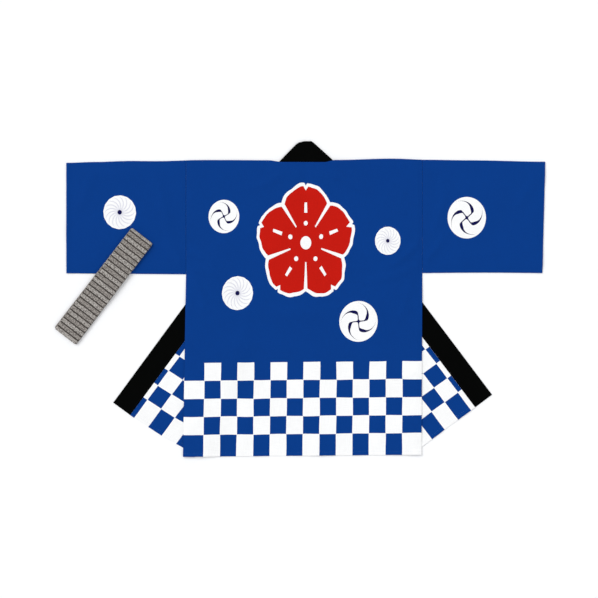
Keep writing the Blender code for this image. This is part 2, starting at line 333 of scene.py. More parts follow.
def flat_grid(across, along, place):
    """Points place(s, t) over two sets of shares, and the grid's faces."""
    s, t = np.meshgrid(across, along)
    x, y = place(s, t)
    rows, columns = s.shape
    index = np.arange(rows * columns).reshape(rows, columns)
    quads = np.stack([index[:-1, :-1], index[:-1, 1:], index[1:, 1:], index[1:, :-1]], -1)
    points = np.stack([x.ravel(), y.ravel()], -1)
    faces = quads.reshape(-1, 4)
    a, b, c = points[faces[0, 0]], points[faces[0, 1]], points[faces[0, 2]]
    if np.cross(b - a, c - b) < 0:
        faces = faces[:, ::-1]
    return points, faces.tolist()


def cut_along(points, faces, lines):
    """The same flat sheet with an edge along every line."""
    sheet = bmesh.new()
    verts = [sheet.verts.new((x, y, 0.0)) for x, y in points]
    for face in faces:
        sheet.faces.new([verts[k] for k in face])
    for line in lines:
        near = [v for v in sheet.verts if abs(distance(line, v.co.x, v.co.y)) < 3 * STEP]
        touched = {e for v in near for e in v.link_edges} | {f for v in near for f in v.link_faces}
        bmesh.ops.bisect_plane(
            sheet,
            geom=near + list(touched),
            dist=0.02 * MM,
            plane_co=(*line.point, 0.0),
            plane_no=(*line.normal, 0.0),
        )
    bmesh.ops.remove_doubles(sheet, verts=sheet.verts[:], dist=0.05 * MM)
    sheet.verts.index_update()
    points = np.array([v.co.xy for v in sheet.verts])
    faces = [[v.index for v in face.verts] for face in sheet.faces]
    sheet.free()
    return points, faces


def rim_of(faces):
    """Directed edges that only one face uses."""
    edges = {}
    for face in faces:
        for a, b in zip(face, face[1:] + face[:1]):
            edges[(a, b)] = (b, a)
    return [edge for edge, back in edges.items() if back not in edges]


EDGE_ROUND, SEAM_ROUND = 0.7 * MM, 0.3 * MM


def rounded(off_edge, wall, radius=EDGE_ROUND):
    """The wall's thickness, less and less towards an edge, so that the edge is round."""
    near = np.clip(1 - off_edge / radius, 0.0, 1.0)
    return wall * np.maximum(np.sqrt(1 - near**2), 0.25)


# where each side of a panel goes on its baked sheet: left, foot, width and height
BakeLayout = namedtuple("BakeLayout", "over_box under_box")
SIDE_BY_SIDE = BakeLayout((0.01, 0.01, 0.64, 0.98), (0.68, 0.01, 0.31, 0.98))
WIDE_OVER = BakeLayout((0.01, 0.35, 0.98, 0.64), (0.01, 0.01, 0.98, 0.31))
RIM_MARGIN = 0.004  # the rim wall's strip round the first side's box


def bake_map(pattern, vertex, layout):
    """Both sides of a panel in their own boxes of one sheet, the rim round the first side's."""
    points, faces = pattern
    low = points.min(axis=0)
    share = (points - low) / (points.max(axis=0) - low)
    flat = vertex % len(points)
    over_loops = sum(len(face) for face in faces)
    bake = np.zeros((len(vertex), 2))
    for box, part in (
        (layout.over_box, slice(0, over_loops)),
        (layout.under_box, slice(over_loops, 2 * over_loops)),
        (layout.over_box, slice(2 * over_loops, None)),
    ):
        bake[part] = np.array(box[:2]) + share[flat[part]] * np.array(box[2:])
    middle = np.array(layout.over_box[:2]) + np.array(layout.over_box[2:]) / 2
    lower_rim = (np.arange(len(vertex)) >= 2 * over_loops) & (vertex >= len(points))
    bake[lower_rim] += RIM_MARGIN * np.sign(bake[lower_rim] - middle)
    return bake


def cloth(name, pattern, over, under, print_map, right_side_over, layout, inside=0.0):
    """A closed shell: over and under are the two sides' points, one for each pattern point.

    right_side_over is True where the first of them is the cloth's right side; inside is how
    far each point of its wrong side shows as such.
    """
    points, faces = pattern
    count = len(points)
    all_faces = list(faces)
    all_faces += [[k + count for k in reversed(face)] for face in faces]
    all_faces += [[a, a + count, b + count, b] for a, b in rim_of(faces)]
    mesh = bpy.data.meshes.new(name)
    placed = np.concatenate([over, under]) + np.array(ORIGIN)
    mesh.from_pydata(placed.tolist(), [], all_faces)
    mesh.validate()
    mesh.shade_smooth()

    vertex = np.zeros(len(mesh.loops), dtype=np.int64)
    mesh.loops.foreach_get("vertex_index", vertex)
    for label, places in (
        ("Pattern", print_map[vertex % count]),
        ("OFBake", bake_map(pattern, vertex, layout)),
    ):
        mesh.uv_layers.new(name=label).data.foreach_set("uv", places.astype(np.float32).ravel())

    wrong = np.zeros(2 * count, dtype=np.float32)
    wrong[slice(count, None) if right_side_over else slice(0, count)] = inside
    mesh.attributes.new("wrong_side", "FLOAT", "POINT").data.foreach_set("value", wrong)
    made = bpy.data.objects.new(name, mesh)
    bpy.context.scene.collection.objects.link(made)
    return made


def sides_of(x, y, height, wall, inset):
    """Both sides of a panel that lies as height says, its wall thinned to inset at the edges."""
    middle = height + wall / 2
    over = np.stack([x, y, middle + inset / 2], -1)
    under = np.stack([x, y, middle - inset / 2], -1)
    return over, under


FOLD_REACH = math.pi / 2 * (FOLD_HEIGHT - CLOTH_WALL) / 2  # half the cloth in a fold's round turn
FOLD_CUTS = [FOLD_REACH * share for share in np.linspace(-1, 1, 9)]


def fold_places(line, x, y, radius, upper, axis=FOLD_AXIS):
    """Points of one side of a sheet turned under itself round half a turn, and how far turned.

    radius is that side's distance from the fold's axis; upper is its height before the fold.
    """
    past = distance(line, x, y)
    before = past <= -FOLD_REACH
    turn = np.clip((past + FOLD_REACH) / (2 * FOLD_REACH), 0.0, 1.0) * math.pi
    across = np.where(past > FOLD_REACH, -past, radius * np.sin(turn) - FOLD_REACH)
    move = np.where(before, 0.0, across - past)
    rise = np.where(before, upper, axis + radius * np.cos(turn))
    return np.stack([x + line.normal[0] * move, y + line.normal[1] * move, rise], -1), turn


def folded_sheet(pattern, folds):
    """The flat pattern with edges along its folds, for their round turns."""
    for fold in folds:
        pattern = cut_along(*pattern, [shifted(fold, cut) for cut in FOLD_CUTS])
    return pattern


# ---- stitching -------------------------------------------------------------------------
Thread = namedtuple("Thread", "pitch length width")
HEM_THREAD = Thread(6.0 * MM, 1.2 * MM, 0.34 * MM)
COLLAR_THREAD = Thread(3.4 * MM, 2.5 * MM, 0.50 * MM)


def stitch_tree():
    """Short stitches, one behind another along a line of edges."""
    tree = bpy.data.node_groups.new("stitch row", "GeometryNodeTree")
    face = tree.interface
    face.new_socket("Line", in_out="INPUT", socket_type="NodeSocketGeometry")
    for label in ("Pitch", "Length", "Width"):
        face.new_socket(label, in_out="INPUT", socket_type="NodeSocketFloat")
    face.new_socket("Thread", in_out="INPUT", socket_type="NodeSocketMaterial")
    face.new_socket("Stitches", in_out="OUTPUT", socket_type="NodeSocketGeometry")
    make, link = tree.nodes.new, tree.links.new
    given, result = make("NodeGroupInput").outputs, make("NodeGroupOutput").inputs
    curve = make("GeometryNodeMeshToCurve")
    link(given["Line"], curve.inputs["Mesh"])
    spots = make("GeometryNodeCurveToPoints")
    spots.mode = "LENGTH"
    link(curve.outputs["Curve"], spots.inputs["Curve"])
    link(given["Pitch"], spots.inputs["Length"])
    along = make("FunctionNodeAlignRotationToVector")
    along.axis = "X"
    link(spots.outputs["Tangent"], along.inputs["Vector"])
    bead = make("GeometryNodeMeshIcoSphere")
    bead.inputs["Radius"].default_value = 0.5
    bead.inputs["Subdivisions"].default_value = 2
    size = make("ShaderNodeCombineXYZ")
    link(given["Length"], size.inputs["X"])
    link(given["Width"], size.inputs["Y"])
    link(given["Width"], size.inputs["Z"])
    placed = make("GeometryNodeInstanceOnPoints")
    link(spots.outputs["Points"], placed.inputs["Points"])
    link(bead.outputs["Mesh"], placed.inputs["Instance"])
    link(along.outputs["Rotation"], placed.inputs["Rotation"])
    link(size.outputs["Vector"], placed.inputs["Scale"])
    real = make("GeometryNodeRealizeInstances")
    link(placed.outputs["Instances"], real.inputs["Geometry"])
    finish = make("GeometryNodeSetMaterial")
    link(real.outputs["Geometry"], finish.inputs["Geometry"])
    link(given["Thread"], finish.inputs["Material"])
    link(finish.outputs["Geometry"], result["Stitches"])
    return tree


def stitched(name, lines, thread, material, tree):
    """One mesh of stitches along lines of points that are already in the coat's place."""
    points = np.concatenate(lines) + np.array(ORIGIN)
    edges, start = [], 0
    for line in lines:
        edges += [(k, k + 1) for k in range(start, start + len(line) - 1)]
        start += len(line)
    mesh = bpy.data.meshes.new(name + "_line")
    mesh.from_pydata(points.tolist(), edges, [])
    route = bpy.data.objects.new(name + "_line", mesh)
    bpy.context.scene.collection.objects.link(route)
    rows = route.modifiers.new("rows", "NODES")
    rows.node_group = tree
    values = dict(Pitch=thread.pitch, Length=thread.length, Width=thread.width, Thread=material)
    for item in tree.interface.items_tree:
        if item.item_type == "SOCKET" and item.name in values:
            rows[item.identifier] = values[item.name]
    seen = route.evaluated_get(bpy.context.evaluated_depsgraph_get())
    made = bpy.data.objects.new(name, bpy.data.meshes.new_from_object(seen))
    made.data.name = name
    made.data.shade_smooth()
    bpy.context.scene.collection.objects.link(made)
    bpy.data.objects.remove(route)
    return made


def line_at(off_edge, where, along, side_points, keep=None):
    """The points of one side that lie where off_edge has one value, in order."""
    on_it = np.abs(off_edge - where) < 0.25 * MM
    if keep is not None:
        on_it &= keep
    chosen = np.flatnonzero(on_it)
    return side_points[chosen[np.argsort(along[chosen])]]


# ---- back ------------------------------------------------------------------------------
HEM_WIDTH = 11.4 * MM
HEM_STITCH = 9.4 * MM
HEM_THICKER, HEM_DENT = 0.6 * MM, 0.4 * MM
SEAM_DIP = 0.2 * MM


def hem_turning(off_hem):
    """Extra thickness of a narrow turned hem, with a dent along its stitching."""
    turned = HEM_THICKER * ease((HEM_WIDTH - off_hem) / (1.6 * MM))
    dent = HEM_DENT * np.exp(-(((off_hem - HEM_STITCH) / (0.7 * MM)) ** 2))
    return turned - dent


def wrong_side_share(off_seams, off_hem):
    """How far the wrong side shows inside: not along seams, nor on the turned hem."""
    return ease((off_seams - 1.0 * MM) / (1.5 * MM)) * ease((off_hem - 11.0 * MM) / (0.8 * MM))


def seam_dip(off_seam):
    """Cloth rounding down into a seam."""
    return SEAM_DIP * np.exp(-((off_seam / (1.2 * MM)) ** 2))


def back_place(s, t):
    top_x = LEFT.armhole_x + (RIGHT.armhole_x - LEFT.armhole_x) * s
    hem_x = LEFT.hem_x + (RIGHT.hem_x - LEFT.hem_x) * s
    y = back_hem_y(hem_x) + (shoulder(top_x) - back_hem_y(hem_x)) * t
    left, right = side_edge_x(LEFT, y), side_edge_x(RIGHT, y)
    return left + (right - left) * s, y


def back_print(x, y):
    left, right = side_edge_x(LEFT, y), side_edge_x(RIGHT, y)
    return np.stack([(x - left) / (right - left) * BODY_WIDTH, y - back_hem_y(x)], -1)


def make_back():
    across = levels(RIGHT.armhole_x - LEFT.armhole_x)
    pattern = flat_grid(across, levels(PANEL_LENGTH), back_place)
    x, y = pattern[0].T
    off_sides = off_body_sides(x, y)
    off_top = shoulder(x) - y
    off_hem = y - back_hem_y(x)
    off_seams = np.minimum(off_sides, off_top)
    wall = np.minimum(rounded(off_hem, CLOTH_WALL), rounded(off_seams, CLOTH_WALL, SEAM_ROUND))
    height = back_height(x, y) + puckers(off_sides, y, ARMHOLE_SEED) + puckers(off_hem, x, 1.9)
    height = height + puckers(off_top, x, 3.1) * 0.6
    over, under = sides_of(x, y, height, CLOTH_WALL, wall)
    dip = seam_dip(off_seams)
    over[:, 2] += hem_turning(off_hem) - dip
    under[:, 2] -= np.minimum(dip * 0.4, 0.12 * MM)
    inside = wrong_side_share(off_seams, off_hem)
    printed = back_print(x, y)
    made = cloth("back_cloth", pattern, over, under, printed, True, SIDE_BY_SIDE, inside)
    return made, [line_at(off_hem, HEM_STITCH, x, over)]


# ---- fronts ----------------------------------------------------------------------------
def front_place(side):
    def place(s, t):
        hem_x = side.hem_x + (side.seam_x - side.hem_x) * s
        top_x = side.armhole_x + (side.seam_x - side.armhole_x) * s
        y = front_hem_y(side, hem_x) + (shoulder(top_x) - front_hem_y(side, hem_x)) * t
        outer = side_edge_x(side, y)
        return outer + (side.seam_x - outer) * s, y

    return place


def clear_of_body(side, x, y, margin):
    """0 up to a margin outside the body's side, rising to 1 beyond it."""
    return ease((side.sign * (x - side_edge_x(side, y)) - margin) / 0.05)


def turned_relief(side, x, y):
    """Ripples of the turned part of a front, only where it reaches out past the body."""
    ripple = 0.3 * MM * (1 + np.sin(52 * x * side.sign + 31 * y))
    return clear_of_body(side, x, y, 12 * MM) * ripple


def make_front(side):
    across = levels(abs(side.seam_x - side.armhole_x))
    fold = fold_line(side)
    pattern = flat_grid(across, levels(PANEL_LENGTH), front_place(side))
    pattern = folded_sheet(pattern, [fold])
    x, y = pattern[0].T
    off_side = np.abs(x - side_edge_x(side, y))
    off_hem = y - front_hem_y(side, x)
    off_band = np.abs(x - side.seam_x)
    off_top = shoulder(x) - y
    off_seams = np.minimum(np.minimum(off_side, off_band), off_top)
    wall = rounded(np.minimum(off_seams, off_hem), CLOTH_WALL)
    lift = front_height(side, x, y) + CLOTH_WALL / 2
    radius = FOLD_AXIS - CLOTH_WALL / 2
    outer, turn = fold_places(fold, x, y, radius + wall / 2, lift + wall / 2)
    inner, _ = fold_places(fold, x, y, radius - wall / 2, lift - wall / 2)
    turned = turn >= math.pi
    relief = np.where(turned, turned_relief(side, inner[:, 0], inner[:, 1]), 0.0)
    gathers = puckers(off_hem, x, 0.3) + puckers(off_band, y, 2.2)
    relief = relief + np.where(turned, edge_lift(off_hem, x, 1.7) * 0.8 + gathers, 0.0)
    thick = hem_turning(off_hem)
    inner[:, 2] += np.where(turned, relief + thick - seam_dip(off_band), -thick * 0.3)
    outer[:, 2] += relief
    printed = np.stack([side.sign * (x - side.seam_x), off_hem], -1)
    name = f"front_{side.name}_cloth"
    inside = wrong_side_share(off_seams, off_hem)
    made = cloth(name, pattern, outer, inner, printed, False, SIDE_BY_SIDE, inside)
    return made, [line_at(off_hem, HEM_STITCH, x, inner, turned)]


# ---- sleeves ---------------------------------------------------------------------------
UNDERARM_BOW = 1.2 * MM  # the right sleeve's lower edge bows up a little


def sleeve_lines(side, along):
    """Top and lower edge of a sleeve at a share of its length from the cuff."""
    sewn_x = side.armhole_x + side.sign * GAP
    top_x = side.cuff_top_x + (sewn_x - side.cuff_top_x) * along
    low_x = side.cuff_low_x + (sewn_x - side.cuff_low_x) * along
    low_y = side.cuff_low_y + (side.armpit_y - side.cuff_low_y) * along
    if side is RIGHT:
        low_y = low_y + UNDERARM_BOW * np.sin(math.pi * np.clip(along, 0, 1))
    return top_x, shoulder(top_x), low_x, low_y


# the middle of the belt's top, where it leaves the sleeve, and a reach to each side
BELT_CLEAR = ((-0.4299, -0.1991), (-0.5340, -0.3355), 0.050)


def clear_of_belt(x, y):
    """0 under the belt, rising to 1 away from it."""
    (ax, ay), (bx, by), reach = BELT_CLEAR
    dx, dy = bx - ax, by - ay
    t = np.clip(((x - ax) * dx + (y - ay) * dy) / (dx * dx + dy * dy), 0, 1)
    away = np.hypot(x - ax - t * dx, y - ay - t * dy)
    return ease((away - reach) / 0.03)


def sleeve_rows(depth, bend):
    """Rows round a sleeve: up its lower layer, round the top fold and down its upper layer."""
    layer = levels(depth) * depth
    turn = bend * np.linspace(0, 1, 7)[:-1]
    return np.concatenate([layer[:-1], depth + turn, depth + bend + layer])


def sleeve_relief(side, x, y, off_turns, off_cuff, off_armhole):
    """Creases, a lifted cuff and gathers, dying out towards the top fold and the underarm."""
    soft = clear_of_belt(x, y) * (creased(x, y, SLEEVE_CREASES) + swell(x, y) * 0.8)
    settle = ease(off_cuff / SLEEVE_SETTLE) * ease(off_armhole / SLEEVE_SETTLE)
    lifted = edge_lift(off_cuff, y * 1.3, 0.9 + side.sign)
    gathers = puckers(off_cuff, y, 1.1 + side.sign) + puckers(off_armhole, y, ARMHOLE_SEED)
    relief = soft * settle * ease(off_turns * SLEEVE_DEPTH / TURN_SETTLE)
    return relief + lifted * ease(off_turns / 0.1) + gathers * ease(off_turns / 0.06)


def make_sleeve(side):
    """One cloth folded at the top, its two edges meeting along the underarm."""
    length = abs(side.cuff_top_x - side.armhole_x)
    depth = SLEEVE_DEPTH
    bend = math.pi * (CLOTH_WALL + GAP) / 2
    total = 2 * depth + bend
    rows = sleeve_rows(depth, bend) / total
    points, faces = flat_grid(levels(length), rows, lambda s, t: (s, t * total))
    share, around = points.T
    top_x, top_y, low_x, low_y = sleeve_lines(side, share)
    middle = (CLOTH_WALL + GAP) / 2
    axis = CLOTH_WALL + GAP / 2
    lower = np.clip(around / depth, 0, 1)
    upper = np.clip((around - depth - bend) / depth, 0, 1)
    turn = np.clip((around - depth) / bend, 0, 1) * math.pi
    up = np.where(around < depth + bend / 2, lower, 1 - upper)
    y = low_y + axis + (top_y - low_y - 2 * axis) * up
    x = low_x + (top_x - low_x) * (y - low_y) / (top_y - low_y)
    off_cuff = share * length
    off_armhole = (1 - share) * length
    off_underarm = np.minimum(around, total - around)
    wall = rounded(np.minimum(off_cuff, off_underarm), CLOTH_WALL)
    wall = np.minimum(wall, rounded(off_armhole, CLOTH_WALL, SEAM_ROUND))
    on_upper = turn > math.pi / 2
    relief = sleeve_relief(side, x, y, np.minimum(up, 1 - up), off_cuff, off_armhole)
    closing = np.exp(-((off_underarm / (1.6 * MM)) ** 2)) * middle * 0.75
    lift = np.where(on_upper, relief - closing, relief / 2 + closing)
    drawn_down = np.exp(-((off_underarm / (1.2 * MM)) ** 2)) * axis * 0.8
    sides = []
    for offset in (wall / 2, -wall / 2):
        radius = middle + offset
        out = np.where((turn > 0) & (turn < math.pi), radius * np.sin(turn), 0.0)
        rise = axis - radius * np.cos(turn)
        sides.append(np.stack([x, y + out - drawn_down, rise + lift], -1))
    outer, inner = sides
    outer[:, 2] += np.where(on_upper, hem_turning(off_cuff) - seam_dip(off_armhole), 0.0)
    printed = np.stack([x, np.where(on_upper, y, 2 * top_y - y)], -1)
    name = f"sleeve_{side.name}_cloth"
    pattern = (points * np.array([length, 1.0]), faces)
    inside = wrong_side_share(np.minimum(off_armhole, off_underarm), off_cuff)
    made = cloth(name, pattern, outer, inner, printed, True, SIDE_BY_SIDE, inside)
    return made, [line_at(off_cuff, HEM_STITCH, around, outer, on_upper)]


# ---- collar ----------------------------------------------------------------------------
COLLAR_EDGE_ROWS = np.array([0.0, 0.3, 0.8, 1.6, 3.0, 4.2, 5.0, 6.0]) * MM
COLLAR_STITCH = 4.2 * MM
NECK_BASE = ((-0.0636, 0.0), (0.0824, 0.0))
NECK_TOP = ((-0.0214, 0.0433), (-0.0120, 0.0498), (0.0010, 0.0530), (0.0205, 0.0534), (0.0240, 0.0526))
NECK_DEPTH = 0.053
NECK_FLAP = 2.6 * MM
NECK_SLANT = 1.42  # a slanting flap is this much longer across than square to its fold
COLLAR_TOP = 0.0500


def collar_wall(off_edges, off_stitching):
    """A pressed double band: full in the middle, round at its edges, drawn in by stitching."""
    full = rounded(off_edges, COLLAR_WALL - 0.1 * MM, 1.1 * MM)
    return full - 0.35 * MM * np.exp(-((off_stitching / (0.8 * MM)) ** 2))


def neck_fold(side):
    """The slanting fold at one end of the neck stretch, its normal away from the stretch."""
    end = 0 if side.sign < 0 else -1
    (bx, by), (tx, ty) = NECK_BASE[end], NECK_TOP[end]
    length = math.hypot(tx - bx, ty - by)
    normal = (side.sign * (ty - by) / length, -side.sign * (tx - bx) / length)
    return Line((bx, by), normal)


def make_collar_band(side):
    sewn_x = side.seam_x - side.sign * GAP
    free_x = free_edge_x(side)
    hem_y = side.front_hem[2]
    corner = shifted(neck_fold(side), -(FOLD_REACH + NECK_FLAP + GAP))

    def top_y(x):
        """Cut slantwise at the neck, just inside the neck stretch's fold."""
        (px, py), (nx, ny) = corner
        return np.minimum(py - (x - px) * nx / ny, COLLAR_TOP)

    def place(s, t):
        x = sewn_x + (free_x - sewn_x) * s
        return x, hem_y + (top_y(x) - hem_y) * t

    across = levels(COLLAR_WIDTH, 4 * MM, COLLAR_EDGE_ROWS)
    along = levels(-hem_y, 5 * MM, COLLAR_EDGE_ROWS)
    fold = fold_line(side)
    pattern = folded_sheet(flat_grid(across, along, place), [fold])
    x, y = pattern[0].T
    off_sewn, off_free = np.abs(x - sewn_x), np.abs(x - free_x)
    off_ends = np.minimum(y - hem_y, top_y(x) - y)
    wall = collar_wall(np.minimum(np.minimum(off_sewn, off_free), off_ends), off_sewn - COLLAR_STITCH)
    radius = FOLD_AXIS - COLLAR_WALL / 2
    upper = FOLD_HEIGHT - COLLAR_WALL / 2
    outer, turn = fold_places(fold, x, y, radius + wall / 2, upper + wall / 2)
    inner, _ = fold_places(fold, x, y, radius - wall / 2, upper - wall / 2)
    turned = turn >= math.pi
    clear = clear_of_body(side, inner[:, 0], inner[:, 1], 15 * MM)
    ripple = clear * 0.35 * MM * (1 + np.sin(39 * y + 1.3 * side.sign) * np.sin(17 * y))
    for places in (outer, inner):
        places[:, 2] += np.where(turned, ripple, 0.0)
    printed = np.stack([side.sign * (x - side.seam_x), y - hem_y], -1)
    name = f"collar_{side.name}_cloth"
    made = cloth(name, pattern, outer, inner, printed, True, SIDE_BY_SIDE)
    return made, [
        line_at(off_sewn, COLLAR_STITCH, y, inner, turned),
        line_at(off_sewn, COLLAR_STITCH, y, outer, ~turned),
    ]


def make_collar_neck():
    """The stretch round the neck, its ends turned down slantwise."""
    (left_x, _), (right_x, _) = NECK_BASE
    extra = (FOLD_REACH + NECK_FLAP) * NECK_SLANT
    width = right_x - left_x
    top_xs, top_ys = np.array(NECK_TOP).T

    def place(s, t):
        bottom_x = left_x - extra + (width + 2 * extra) * s
        on_base = np.clip(bottom_x, left_x, right_x)
        bottom_y = shoulder(on_base) + GAP
        on_top = top_xs[0] + (top_xs[-1] - top_xs[0]) * (on_base - left_x) / width
        top_x = on_top + bottom_x - on_base
        top_y = np.interp(on_top, top_xs, top_ys)
        return bottom_x + (top_x - bottom_x) * t, bottom_y + (top_y - bottom_y) * t

    across = levels(width, 4 * MM, COLLAR_EDGE_ROWS)
    along = levels(NECK_DEPTH, 4 * MM, COLLAR_EDGE_ROWS)
    left_fold, right_fold = neck_fold(LEFT), neck_fold(RIGHT)
    pattern = folded_sheet(flat_grid(across, along, place), [left_fold, right_fold])
    x, y = pattern[0].T
    share = (y - shoulder(x)) / NECK_DEPTH
    off_edges = np.minimum(np.clip(share, 0, 1), np.clip(1 - share, 0, 1)) * NECK_DEPTH
    wall = collar_wall(off_edges, off_edges - COLLAR_STITCH)
    upper_mid = NECK_LIFT + COLLAR_WALL / 2
    axis = (upper_mid + FOLD_HEIGHT - COLLAR_WALL / 2) / 2
    radius = upper_mid - axis
    past_left, past_right = distance(left_fold, x, y), distance(right_fold, x, y)
    at_right = (past_right > -FOLD_REACH)[:, None]
    sides = []
    for offset in (wall / 2, -wall / 2):
        lie = (radius + offset, upper_mid + offset, axis)
        left_places, _ = fold_places(left_fold, x, y, *lie)
        right_places, _ = fold_places(right_fold, x, y, *lie)
        sides.append(np.where(at_right, right_places, left_places))
    printed = np.stack([y, x + 0.1], -1)
    made = cloth("collar_neck_cloth", pattern, *sides, printed, True, WIDE_OVER)
    between_folds = np.maximum(past_left, past_right) < -FOLD_REACH
    return made, [line_at(y - shoulder(x) - GAP, COLLAR_STITCH, x, sides[0], between_folds)]


# ---- belt ------------------------------------------------------------------------------
BELT_TOP = (-0.4299, -0.1991)
BELT_LENGTH = 0.3395
BELT_WIDTH = 0.0700
BELT_LEAN_DEG = 37.4
BELT_WALL = 1.0 * MM
BELT_STEP_DOWN = (0.163, 0.223)  # along the bundle, from the sleeve down to the surface
BELT_RIB = 13.84 * MM
BELT_FIRST_LINE = 9.0 * MM  # the first dark line, down from the top fold
BELT_LINE = 3.3 * MM
BELT_CORNER = 4.5 * MM
RIB_SLOPE = 2.8 * MM  # from the middle of a line up to a rib's full height
LINE_THINNED = 0.28  # share of the wall lost in a line
LINE_DRAWN_IN = 0.014  # share of the width lost in a line
LINE_DEPTH = 0.5 * MM
BELT_ROUND = 0.6 * MM
BELT_EDGE_ROWS = np.array([0.0, 0.3, 0.9, 2.0, 4.0]) * MM
LayerShift = namedtuple("LayerShift", "along across turn_deg")
BELT_LAYERS = (
    LayerShift(0.0000, 0.0000, 0.00),
    LayerShift(0.0008, 0.0008, 0.15),
    LayerShift(-0.0006, -0.0010, -0.20),
    LayerShift(0.0010, 0.0004, -0.15),
    LayerShift(-0.0008, -0.0013, -0.38),  # shows past the left edge near the foot
    LayerShift(0.0000, 0.0002, 0.05),
)


def belt_rows(run, bend):
    """Rows along the whole ribbon: eleven to a rib on each run, six to a turn."""
    straight = np.linspace(0, run, round(run / (BELT_RIB / 11)) + 1)
    turn = bend * np.linspace(0, 1, 7)[1:-1]
    rows = [straight]
    for layer in range(1, len(BELT_LAYERS)):
        start = layer * run + (layer - 1) * bend
        rows += [start + turn, start + bend + straight]
    return np.concatenate(rows)


def make_belt():
    """A ribbed ribbon laid to and fro in layers, with a round turn at each end."""
    pitch = BELT_WALL + GAP
    bend = math.pi * pitch / 2
    run = BELT_LENGTH - pitch - BELT_WALL
    layers = len(BELT_LAYERS)
    total = layers * run + (layers - 1) * bend
    across = levels(BELT_WIDTH, 6 * MM, BELT_EDGE_ROWS)
    rows = belt_rows(run, bend) / total
    pattern = flat_grid(across, rows, lambda s, t: (s * BELT_WIDTH, t * total))
    q, p = pattern[0][:, 0] - BELT_WIDTH / 2, pattern[0][:, 1]
    layer = np.clip(np.floor(p / (run + bend)), 0, layers - 1).astype(int)
    within = p - layer * (run + bend)
    turning = np.clip((within - run) / bend, 0, 1)
    straight = np.clip(within, 0, run)
    ahead = layer % 2 == 0
    along = np.where(ahead, straight, run - straight)
    shift = np.array(BELT_LAYERS)
    onward = np.minimum(layer + 1, layers - 1)
    blend = turning[:, None]
    moved = shift[layer] * (1 - blend) + shift[onward] * blend
    turn_room = (pitch + BELT_WALL) / 2
    ribs = (total - p + turn_room - BELT_FIRST_LINE) / BELT_RIB
    off_line = np.abs(ribs - np.round(ribs)) * BELT_RIB
    body = ease(off_line / RIB_SLOPE)
    off_edges = np.minimum(BELT_WIDTH / 2 - np.abs(q), np.minimum(p, total - p))
    wall = rounded(off_edges, BELT_WALL, BELT_ROUND) * (1 - LINE_THINNED * (1 - body))
    q = q * (1 + LINE_DRAWN_IN * (body - 0.6))
    near_edge = np.clip((np.abs(q) - BELT_WIDTH / 2) / BELT_CORNER + 1, 0, 1)
    round_off = BELT_CORNER * (1 - np.sqrt(1 - near_edge**2))
    lean = math.radians(BELT_LEAN_DEG)
    down = np.array([-math.sin(lean), -math.cos(lean)])
    sideways = np.array([math.cos(lean), -math.sin(lean)])
    low, high = BELT_STEP_DOWN
    sides = []
    for offset in (wall / 2, -wall / 2):
        facing = np.where(ahead, 1.0, -1.0)
        radius = pitch / 2 - offset * facing
        beyond = radius * np.sin(turning * math.pi) * (turning > 0)
        climb = pitch / 2 - radius * np.cos(turning * math.pi)
        flat_rise = offset * facing
        rise = np.where(turning > 0, climb, flat_rise) + layer * pitch + BELT_WALL / 2
        rise = rise + LINE_DEPTH * (body - 1) * (layer == layers - 1)
        reach = turn_room + along + np.where(ahead, beyond, -beyond)
        to_top, to_foot = reach / (2 * BELT_CORNER), (BELT_LENGTH - reach) / (2 * BELT_CORNER)
        reach = reach + round_off * (1 - ease(to_top)) - round_off * (1 - ease(to_foot))
        bed = (2 * CLOTH_WALL + 2 * GAP) * ease(1 - (reach - low) / (high - low))
        turn = np.radians(moved[:, 2])
        from_middle = reach - BELT_LENGTH / 2
        a = reach + moved[:, 0] - q * np.sin(turn)
        b = q * np.cos(turn) + moved[:, 1] + from_middle * np.sin(turn)
        xy = np.array(BELT_TOP) + a[:, None] * down + b[:, None] * sideways
        sides.append(np.concatenate([xy, (bed + rise)[:, None]], axis=1))
    printed = np.stack([q, ribs * BELT_RIB], -1)
    made = cloth("belt_ribbon", pattern, *sides, printed, True, SIDE_BY_SIDE)
    return made, total


# ======================================================================================
# Finishes
# ======================================================================================
def linear(red, green, blue):
    """A colour given in everyday 0 to 255 steps."""
    parts = []
    for part in (red, green, blue):
        part /= 255
        parts.append(part / 12.92 if part <= 0.04045 else ((part + 0.055) / 1.055) ** 2.4)
    return (*parts, 1.0)


DYE_BLUE = linear(3, 56, 130)
BARE_COTTON = linear(244, 244, 243)
DYE_RED = linear(190, 23, 12)
DYE_LILAC = linear(150, 150, 186)
DYE_NAVY = linear(14, 16, 70)
WRONG_SIDE_PALE = linear(214, 222, 236)

# two shades of each, for the darkest and the lightest threads; on the collar painted thread shade also
# chooses between them
COLLAR_BLACK = linear(1, 1, 1), linear(6, 7, 6)
HEM_PALE_BLUE = linear(118, 138, 182), linear(142, 160, 200)
CUFF_BLUE = linear(6, 52, 120), linear(16, 66, 142)
COLLAR_SEWING = linear(6, 6, 7), linear(16, 16, 17)
RIBBON_LIGHT = linear(102, 97, 93), linear(182, 177, 171)
RIBBON_DARK = linear(96, 91, 87), linear(160, 154, 148)
RIBBON_LINE = linear(46, 41, 37)


def feed(tree, slot, value):
    """Links a socket to a node's input, or sets the input to a plain number or colour."""
    if isinstance(value, Number):
        value = value.socket
    if isinstance(value, bpy.types.NodeSocket):
        tree.links.new(value, slot)
    else:
        slot.default_value = value


